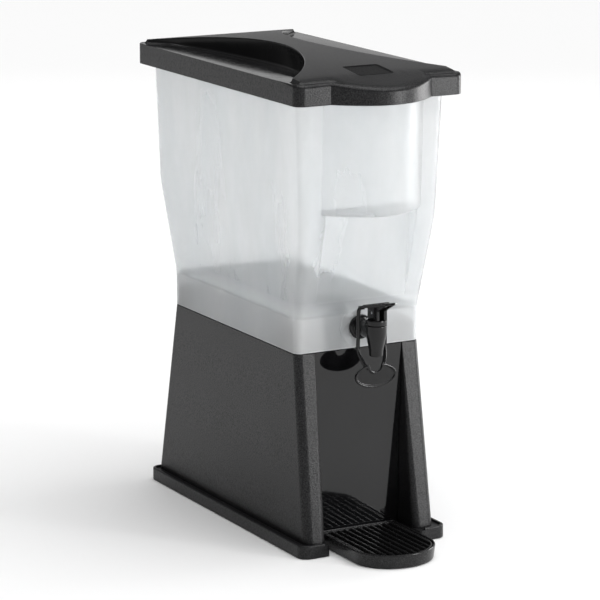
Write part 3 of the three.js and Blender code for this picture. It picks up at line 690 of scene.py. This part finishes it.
def lid_solid(name, inset, drop, bottom, foot_round=0.0):
    def edge(height):
        return min(height, LID_RIM) - drop

    rings = []
    if foot_round:
        rings.append(at_height(lid_outline(inset + foot_round), bottom))
        rings.append(at_height(lid_outline(inset + foot_round * 0.3), bottom + foot_round * 0.3))
        rings.append(at_height(lid_outline(inset), bottom + foot_round))
    else:
        rings.append(at_height(lid_outline(inset), bottom))
    for more, below in EDGE_ROLL:
        outline = lid_outline(inset + more)
        rings.append([(x, y, edge(crown_height(x, y) - below)) for x, y in outline])
    inner = lid_outline(inset + 9)
    steps = 19
    for k in range(steps + 1):
        scale = 1.0 - 0.94 * k / steps
        ring = []
        for x, y in inner:
            px = x * scale
            py = mix(CROWN_CENTRE, y, scale)
            ring.append((px, py, crown_height(px, py) - drop))
        rings.append(ring)
    return loft(name, rings)


def scoop_floor(x):
    return min(LID_RIM, SCOOP_LOW + SCOOP_SLOPE * (abs(x) - SCOOP_SPINE))


def scoop_solid(name, side, grow):
    """A finger scoop: its wall follows an arc, with a rounded brim and a cove at the floor."""
    radius = SCOOP_RADIUS + grow
    brim = 0.0 if grow else SCOOP_BRIM
    cove = SCOOP_COVE
    rings = []
    steps = 110
    for i in range(steps + 1):
        angle = math.radians(mix(-SCOOP_HALF_ANGLE, SCOOP_HALF_ANGLE, i / steps))
        start = SCOOP_START / math.cos(angle)

        def place(r, z):
            return (side * (SCOOP_X - r * math.cos(angle)), CROWN_CENTRE + r * math.sin(angle), z)

        def floor_at(r):
            return scoop_floor(SCOOP_X - r * math.cos(angle)) - grow

        def height_at(r):
            px, py, _ = place(r, 0)
            return crown_height(px, py)

        kink = min((SCOOP_X - SCOOP_KINK_X) / math.cos(angle), radius - cove - 1.0)
        ring = [place(start, floor_at(start)), place(kink, floor_at(kink))]
        foot = radius - cove
        middle = mix(kink, foot, 0.5)
        ring.append(place(middle, floor_at(middle)))
        for k in range(5):
            turn = k * QUARTER / 4
            r = foot + cove * math.sin(turn)
            ring.append(place(r, floor_at(foot) + cove * (1 - math.cos(turn))))
        if brim:
            for k in range(5):
                turn = k * QUARTER / 4
                r = radius + brim * (1 - math.cos(turn))
                top = max(height_at(radius + brim), floor_at(foot) + cove + brim + 0.2)
                ring.append(place(r, top - brim * (1 - math.sin(turn)) + 0.02))
        else:
            ring.append(place(radius, SCOOP_TOP - 20))
        ring.append(place(radius + brim + 0.02, SCOOP_TOP))
        ring.append(place(start, SCOOP_TOP))
        rings.append(ring)
    return loft(name, rings)


def badge_solid(name, grow, bottom, top, round_top=0.0):
    """A rounded plate in the badge's place, tilted with the crown. Heights are off its plane."""
    half_width, half_length, corner = (size + grow for size in BADGE)
    tilt = math.atan(BADGE_SLOPE)
    cos, sin = math.cos(tilt), math.sin(tilt)
    centre_y, centre_z = BADGE_CENTRE

    def ring(inset, z):
        outline = rounded((half_width, -half_length, half_length, corner), inset, 8)
        return [(x, centre_y + y * cos - z * sin, centre_z + y * sin + z * cos) for x, y in outline]

    rings = [ring(0, bottom), ring(0, top - round_top)]
    if round_top:
        rings += [ring(round_top * 0.3, top - round_top * 0.3), ring(round_top, top)]
    return loft(name, rings)


def build_lid():
    lid = lid_solid("lid_cover", 0, 0, LID_BOTTOM, 0.8)
    cavity = lid_solid("lid_inside", 6.2, LID_WALL, LID_BOTTOM - 1)
    join(cavity, slab("shoulder", lid_outline(LID_WALL), LID_BOTTOM - 1, TANK_TOP + GAP))
    for side in (-1, 1):
        cut(cavity, scoop_solid("scoop_skin", side, LID_WALL))
    cut(lid, cavity)
    for side in (-1, 1):
        cut(lid, scoop_solid("scoop", side, 0))
    cut(lid, badge_solid("badge_seat", GAP, -1.8, 6))
    return smooth(lid)


def build_badge():
    """The blank badge: a narrow border round a slightly sunk plain field."""
    badge = badge_solid("blank_badge", 0, -1.5, -0.5, 0.35)
    cut(badge, badge_solid("field", -1.9, -0.95, 6))
    return smooth(badge)


# ---- Tap ----

def build_lever():
    """The CAD lever with three thumb ridges across its top plate."""
    lever = cad_copy("push_lever", "tap_lever")
    weld(lever)
    ridge = ((-1.1, -1.2), (1.1, -1.6), (0.8, 0.7), (-0.5, 1.05))
    for k in range(3):
        y = RIDGE_FIRST - RIDGE_PITCH * k
        z = PLATE_HIGH[1] - (y - PLATE_HIGH[0]) * math.tan(PLATE_SLOPE)
        half = 15.5 - 2.2 * k
        rings = []
        for x in (-half, half):
            rings.append([(x, y + u, z + v) for u, v in ridge])
        join(lever, loft("ridge", rings))
    return moulded(lever, 0.45)


def build_spring():
    """The closing spring round the stem."""
    per_turn, sides = 28, 10
    count = SPRING_TURNS * per_turn + 1
    rings = []
    for k in range(count):
        t = k / (count - 1)
        angle = 2 * math.pi * SPRING_TURNS * t
        out = (math.cos(angle), math.sin(angle))
        height = mix(SPRING_LOW + SPRING_WIRE, SPRING_HIGH - SPRING_WIRE, t)
        ring = []
        for i in range(sides):
            around = 2 * math.pi * i / sides
            reach = SPRING_RADIUS + SPRING_WIRE * math.cos(around)
            rise = SPRING_WIRE * math.sin(around)
            ring.append((out[0] * reach, TAP_Y + out[1] * reach, height + rise))
        rings.append(ring)
    return smooth(loft("closing_spring", rings))


# ---- Materials ----

def new_material(name):
    material = bpy.data.materials.new(name)
    material.use_nodes = True
    tree = material.node_tree
    return material, tree, tree.nodes["Principled BSDF"]


def add(tree, kind, **values):
    node = tree.nodes.new(kind)
    for key, value in values.items():
        setattr(node, key, value)
    return node


def noise(tree, coordinates, scale, detail=3.0, roughness=0.5):
    node = add(tree, "ShaderNodeTexNoise")
    node.inputs["Scale"].default_value = scale
    node.inputs["Detail"].default_value = detail
    node.inputs["Roughness"].default_value = roughness
    tree.links.new(coordinates, node.inputs["Vector"])
    return node.outputs["Fac"]


def ramp(tree, fac, low, high, start=0.0, end=1.0):
    """A number from low to high while fac goes from start to end."""
    node = add(tree, "ShaderNodeMapRange")
    node.inputs["From Min"].default_value = start
    node.inputs["From Max"].default_value = end
    node.inputs["To Min"].default_value = low
    node.inputs["To Max"].default_value = high
    tree.links.new(fac, node.inputs["Value"])
    return node.outputs["Result"]


def shade(tree, fac, dark, light, start=0.35, end=0.65):
    """A colour from dark to light while fac goes from start to end."""
    node = add(tree, "ShaderNodeValToRGB")
    node.color_ramp.elements[0].position = start
    node.color_ramp.elements[0].color = (*dark, 1)
    node.color_ramp.elements[1].position = end
    node.color_ramp.elements[1].color = (*light, 1)
    tree.links.new(fac, node.inputs["Fac"])
    return node.outputs["Color"]


def bump(tree, shader, height, distance, strength=1.0, before=None):
    node = add(tree, "ShaderNodeBump")
    node.inputs["Distance"].default_value = distance
    node.inputs["Strength"].default_value = strength
    tree.links.new(height, node.inputs["Height"])
    if before is not None:
        tree.links.new(before, node.inputs["Normal"])
    tree.links.new(node.outputs["Normal"], shader.inputs["Normal"])
    return node.outputs["Normal"]


def stretched(tree, coordinates, scale):
    node = add(tree, "ShaderNodeMapping")
    node.inputs["Scale"].default_value = scale
    tree.links.new(coordinates, node.inputs["Vector"])
    return node.outputs["Vector"]


def object_coordinates(tree):
    return add(tree, "ShaderNodeTexCoord").outputs["Object"]


def grained_plastic(name, dark, light, rough, shine, grain, depth):
    """Moulded plastic with a leather-like grain. Grain is the cells' scale, depth is in metres."""
    material, tree, shader = new_material(name)
    where = object_coordinates(tree)
    blotch = noise(tree, where, 9.0, 5.0, 0.6)
    speck = noise(tree, where, grain * 0.9, 2.0, 0.6)
    tone = add(tree, "ShaderNodeMath", operation="MULTIPLY_ADD")
    tone.inputs[1].default_value = 0.45
    tree.links.new(speck, tone.inputs[0])
    tree.links.new(ramp(tree, blotch, 0.1, 0.45, 0.3, 0.7), tone.inputs[2])
    tree.links.new(shade(tree, tone.outputs[0], dark, light, 0.2, 0.8),
                   shader.inputs["Base Color"])
    tree.links.new(ramp(tree, speck, rough - 0.08, rough + 0.1, 0.3, 0.7),
                   shader.inputs["Roughness"])
    cells = add(tree, "ShaderNodeTexVoronoi", feature="SMOOTH_F1")
    cells.inputs["Scale"].default_value = grain
    cells.inputs["Smoothness"].default_value = 0.6
    tree.links.new(where, cells.inputs["Vector"])
    fine = bump(tree, shader, cells.outputs["Distance"], depth, 1.0)
    bump(tree, shader, noise(tree, where, grain * 1.6, 2.0, 0.6), depth * 0.6, 0.8, fine)
    tree.links.new(ramp(tree, speck, 0.12, shine, 0.35, 0.72), shader.inputs["Specular IOR Level"])
    return material


def glossy_plastic(name, color, rough, smear, shine=0.45):
    """Polished plastic with faint wipe marks and a trace of orange peel."""
    material, tree, shader = new_material(name)
    where = object_coordinates(tree)
    wipe = noise(tree, stretched(tree, where, (1.0, 1.0, 0.22)), 60.0, 6.0, 0.7)
    dust = noise(tree, where, 700.0, 2.0, 0.5)
    light = tuple(c * 1.7 + 0.002 for c in color)
    tree.links.new(shade(tree, noise(tree, where, 14.0, 4.0), color, light, 0.3, 0.75),
                   shader.inputs["Base Color"])
    tree.links.new(ramp(tree, wipe, rough, rough + smear, 0.35, 0.75), shader.inputs["Roughness"])
    shader.inputs["Specular IOR Level"].default_value = shine
    peel = bump(tree, shader, noise(tree, where, 160.0, 2.0), 0.00004, 0.5)
    bump(tree, shader, dust, 0.00001, 0.4, peel)
    return material


def frosted_plastic(name, stops):
    """Frosted polypropylene: clear plastic mixed with haze, and faint flow marks from the mould."""
    material, tree, shader = new_material(name)
    where = object_coordinates(tree)
    flow = noise(tree, stretched(tree, where, (1.0, 1.0, 0.25)), 16.0, 4.0, 0.55)
    cloud = noise(tree, stretched(tree, where, (1.0, 1.0, 0.4)), 7.0, 5.0, 0.6)
    grit = noise(tree, where, 420.0, 3.0, 0.6)
    tree.links.new(shade(tree, flow, (0.925, 0.945, 0.955), (0.975, 0.98, 0.982), 0.3, 0.7),
                   shader.inputs["Base Color"])
    tree.links.new(ramp(tree, noise(tree, where, 30.0, 5.0, 0.6), 0.12, 0.18, 0.3, 0.7),
                   shader.inputs["Roughness"])
    shader.inputs["Transmission Weight"].default_value = 1.0
    shader.inputs["IOR"].default_value = 1.12
    bump(tree, shader, grit, 0.00006, 0.3)
    tint = shade(tree, flow, (0.90, 0.92, 0.93), (0.95, 0.955, 0.96), 0.3, 0.7)
    scatter = add(tree, "ShaderNodeBsdfTranslucent")
    tree.links.new(tint, scatter.inputs["Color"])
    face = add(tree, "ShaderNodeBsdfDiffuse")
    tree.links.new(tint, face.inputs["Color"])
    haze = add(tree, "ShaderNodeMixShader")
    haze.inputs["Fac"].default_value = 0.5
    tree.links.new(scatter.outputs[0], haze.inputs[1])
    tree.links.new(face.outputs[0], haze.inputs[2])
    place = add(tree, "ShaderNodeSeparateXYZ")
    tree.links.new(where, place.inputs[0])
    level = ramp(tree, place.outputs["Z"], 0.0, 1.0, *HAZE_BAND)
    # Haze share by height; with the wall stops it adds a painted glow along the tank's bottom edge.
    share = add(tree, "ShaderNodeValToRGB")
    while len(share.color_ramp.elements) < len(stops):
        share.color_ramp.elements.new(0.5)
    for element, (at, amount) in zip(share.color_ramp.elements, stops):
        element.position = at
        element.color = (amount, amount, amount, 1)
    tree.links.new(level, share.inputs["Fac"])
    total = add(tree, "ShaderNodeMath", operation="ADD")
    tree.links.new(share.outputs["Color"], total.inputs[0])
    tree.links.new(ramp(tree, cloud, 0.0, 0.07, 0.3, 0.7), total.inputs[1])
    whole = add(tree, "ShaderNodeMixShader")
    tree.links.new(total.outputs[0], whole.inputs["Fac"])
    tree.links.new(shader.outputs[0], whole.inputs[1])
    tree.links.new(haze.outputs[0], whole.inputs[2])
    tree.links.new(whole.outputs[0], tree.nodes["Material Output"].inputs["Surface"])
    return material


def rubber(name):
    material, tree, shader = new_material(name)
    where = object_coordinates(tree)
    grit = noise(tree, where, 900.0, 4.0, 0.6)
    tree.links.new(shade(tree, grit, (0.012, 0.012, 0.012), (0.03, 0.03, 0.029)),
                   shader.inputs["Base Color"])
    tree.links.new(ramp(tree, grit, 0.75, 0.95), shader.inputs["Roughness"])
    bump(tree, shader, grit, 0.00008, 0.6)
    return material


def silicone(name):
    material, tree, shader = new_material(name)
    where = object_coordinates(tree)
    cloud = noise(tree, where, 220.0, 3.0)
    tree.links.new(shade(tree, cloud, (0.66, 0.66, 0.62), (0.78, 0.78, 0.75)),
                   shader.inputs["Base Color"])
    tree.links.new(ramp(tree, cloud, 0.45, 0.6), shader.inputs["Roughness"])
    shader.inputs["Subsurface Weight"].default_value = 0.2
    shader.inputs["Subsurface Scale"].default_value = 0.002
    bump(tree, shader, cloud, 0.00003, 0.4)
    return material


def steel(name):
    material, tree, shader = new_material(name)
    where = object_coordinates(tree)
    drawn = noise(tree, stretched(tree, where, (1.0, 12.0, 12.0)), 260.0, 4.0, 0.6)
    tree.links.new(shade(tree, drawn, (0.5, 0.51, 0.53), (0.68, 0.69, 0.7)),
                   shader.inputs["Base Color"])
    tree.links.new(ramp(tree, drawn, 0.18, 0.34), shader.inputs["Roughness"])
    shader.inputs["Metallic"].default_value = 1.0
    bump(tree, shader, drawn, 0.00001, 0.5)
    return material


textured_black = grained_plastic(
    "textured_black_plastic", dark=(0.005, 0.005, 0.0055), light=(0.015, 0.015, 0.016),
    rough=0.36, shine=0.5, grain=800.0, depth=0.00013)
gloss_black = glossy_plastic(
    "gloss_black_plastic", (0.003, 0.003, 0.0034), rough=0.04, smear=0.05)
scoop_black = glossy_plastic(
    "polished_scoop_plastic", (0.010, 0.010, 0.0105), rough=0.1, smear=0.08, shine=0.2)
badge_black = grained_plastic(
    "badge_black_plastic", dark=(0.003, 0.003, 0.0034), light=(0.009, 0.009, 0.0095),
    rough=0.5, shine=0.06, grain=1400.0, depth=0.00004)
satin_black = grained_plastic(
    "satin_black_plastic", dark=(0.007, 0.007, 0.0074), light=(0.017, 0.017, 0.0174),
    rough=0.24, shine=0.5, grain=1200.0, depth=0.00003)
tap_black = glossy_plastic(
    "tap_black_plastic", (0.004, 0.004, 0.0043), rough=0.12, smear=0.08, shine=0.3)
frosted = frosted_plastic("frosted_polypropylene", WALL_HAZE_AND_EDGE_GLOW)
frosted_floor = frosted_plastic("frosted_polypropylene_floor", FLOOR_HAZE)
rubber_black = rubber("black_rubber")
seat_silicone = silicone("clear_silicone")
drawn_steel = steel("drawn_steel")


def paint(obj, *materials):
    obj.data.materials.clear()
    for material in materials:
        obj.data.materials.append(material)


def in_scoop(polygon):
    """Whether a polygon of the lid lies in a finger scoop, a little inside its brim."""
    x, y, z = (c / MM for c in polygon.center)
    from_axis = math.hypot(abs(x) - SCOOP_X, y - CROWN_CENTRE)
    between = scoop_floor(x) - 0.4 < z < crown_height(x, y) - 0.25
    return from_axis < SCOOP_RADIUS + 0.9 and between


def on_tank_floor(polygon):
    low, high = TANK_FLOOR_BAND
    return low < polygon.center.z < high and abs(polygon.normal.z) > 0.7


def paint_where(obj, test):
    """Gives the second material to the polygons that the test picks."""
    for polygon in obj.data.polygons:
        if test(polygon):
            polygon.material_index = 1


# ---- Assembly ----

base = build_base()
paint(base, textured_black)
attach(base, "base")
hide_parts("base_shell")

panel = build_panel()
paint(panel, gloss_black)
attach(panel, "base")
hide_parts("front_panel")

tray = build_tray()
paint(tray, satin_black)
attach(tray, "tray")
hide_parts("drip_tray")

grate = build_grate()
paint(grate, satin_black)
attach(grate, "grate")
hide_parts("drip_grate")

tank = build_reservoir()
paint(tank, frosted, frosted_floor)
paint_where(tank, on_tank_floor)
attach(tank, "tank")
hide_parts("reservoir")

lid = build_lid()
paint(lid, textured_black, scoop_black)
paint_where(lid, in_scoop)
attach(lid, "cover")
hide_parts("lid")

badge = build_badge()
paint(badge, badge_black)
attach(badge, "cover")
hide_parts("lid_badge")

lever = build_lever()
paint(lever, tap_black)
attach(lever, "lever")
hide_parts("tap_lever")

for name, node, body, voxel in (
    ("tap_housing", "tap_body", "tank", 0.45),
    ("bonnet_cap", "tap_bonnet", "tank", 0.4),
    ("shank_nut", "tap_shank_nut", "tank", 0.4),
    ("valve_stem", "tap_stem", "valve", 0.3),
):
    piece = moulded(cad_copy(name, node), voxel)
    paint(piece, tap_black)
    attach(piece, body)
    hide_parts(node)

spring = build_spring()
paint(spring, drawn_steel)
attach(spring, "tank")
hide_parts("tap_spring")
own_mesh(spring)

for node, material in (
    ("foot_pad_left_front", rubber_black),
    ("foot_pad_right_front", rubber_black),
    ("foot_pad_left_back", rubber_black),
    ("foot_pad_right_back", rubber_black),
    ("tap_outer_washer", rubber_black),
    ("tap_inner_washer", rubber_black),
    ("tap_seat_cup", seat_silicone),
    ("tap_lever_pin", drawn_steel),
):
    nodes[node].data.materials.clear()
    nodes[node].data.materials.append(material)


# ---- Floor, light and camera ----

def build_floor():
    half = 16000.0
    corners = [(-half, -half, 0), (half, -half, 0), (half, half, 0), (-half, half, 0)]
    floor = mesh_object("floor", corners, [(0, 1, 2, 3)])
    material, _, shader = new_material("pale_floor")
    shader.inputs["Base Color"].default_value = (0.9, 0.9, 0.9, 1)
    shader.inputs["Roughness"].default_value = 0.9
    floor.data.materials.append(material)


def area_light(name, location, target, width, height, power):
    """A soft rectangular lamp, in metres and watts, that faces its target."""
    light = bpy.data.lights.new(name, "AREA")
    light.shape = "RECTANGLE"
    light.size = width
    light.size_y = height
    light.energy = power
    obj = bpy.data.objects.new(name, light)
    scene.collection.objects.link(obj)
    obj.location = location
    aim = Vector(target) - Vector(location)
    obj.rotation_euler = aim.to_track_quat("-Z", "Y").to_euler()


build_floor()
world = bpy.data.worlds.new("studio")
scene.world = world
world.use_nodes = True
background = world.node_tree.nodes["Background"]
background.inputs["Color"].default_value = (1, 1, 1, 1)
background.inputs["Strength"].default_value = 0.2

overhead = bpy.data.lights.new("overhead", "SUN")
overhead.energy = 2.9
overhead.angle = math.radians(70)
overhead_light = bpy.data.objects.new("overhead", overhead)
scene.collection.objects.link(overhead_light)
overhead_light.rotation_euler = (math.radians(12), math.radians(8), 0)

area_light("back_panel", (1.6, 2.9, 1.35), (0, 0, 0.45), width=3.0, height=1.1, power=5)
area_light("key_right", (1.5, -2.1, 0.32), (0, 0, 0.3), width=0.35, height=0.8, power=36)
area_light("rim_right", (2.4, -0.05, 0.3), (0, 0, 0.35), width=0.9, height=1.0, power=34)

camera_data = bpy.data.cameras.new("camera")
camera_data.lens = CAMERA_LENS
camera_data.sensor_width = 36.0
camera_data.clip_end = 50.0
camera = bpy.data.objects.new("camera", camera_data)
scene.collection.objects.link(camera)
camera.location = CAMERA_PLACE
camera.rotation_euler = (math.radians(CAMERA_PITCH), 0, math.radians(CAMERA_YAW))
scene.camera = camera

scene.view_settings.view_transform = "Standard"
